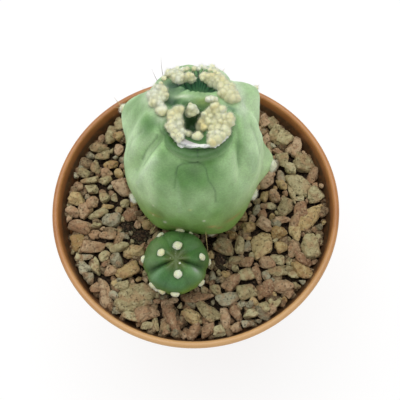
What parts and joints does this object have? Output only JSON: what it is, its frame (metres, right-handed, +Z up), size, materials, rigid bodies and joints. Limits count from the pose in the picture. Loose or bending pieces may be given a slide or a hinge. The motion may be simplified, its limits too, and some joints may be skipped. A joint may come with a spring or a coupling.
{
  "type": "potted lobivia cactus",
  "caption": "Squat two-headed ball cactus with a woolly crown and a small ribbed offset, in a round tapered plastic pot with a lava-gravel top dressing.",
  "frame": {"origin": "middle of the pot's flat foot", "axes": "+Z up along the pot's axis; -Y towards the front of the plant, where the offset grows; +X to the plant's right in the front view"},
  "size_m": [0.105, 0.105, 0.1445],
  "materials": {
    "pot_plastic": "satin terracotta-coloured plastic",
    "soil": "dark crumbly potting mix",
    "gravel": "rough brown and grey lava stone",
    "stem_skin": "waxy blue-green plant skin",
    "offset_skin": "smooth deep green plant skin",
    "wool": "cream felted plant wool"
  },
  "bodies": {
    "root": {"pot": "pot_plastic", "soil": "soil", "gravel": "gravel", "stem": "stem_skin", "offset": "offset_skin", "wool_front_left": "wool", "wool_front_right": "wool", "wool_rear_left": "wool", "wool_rear_right": "wool", "wool_left_shoulder": "wool"}
  },
  "joints": []
}
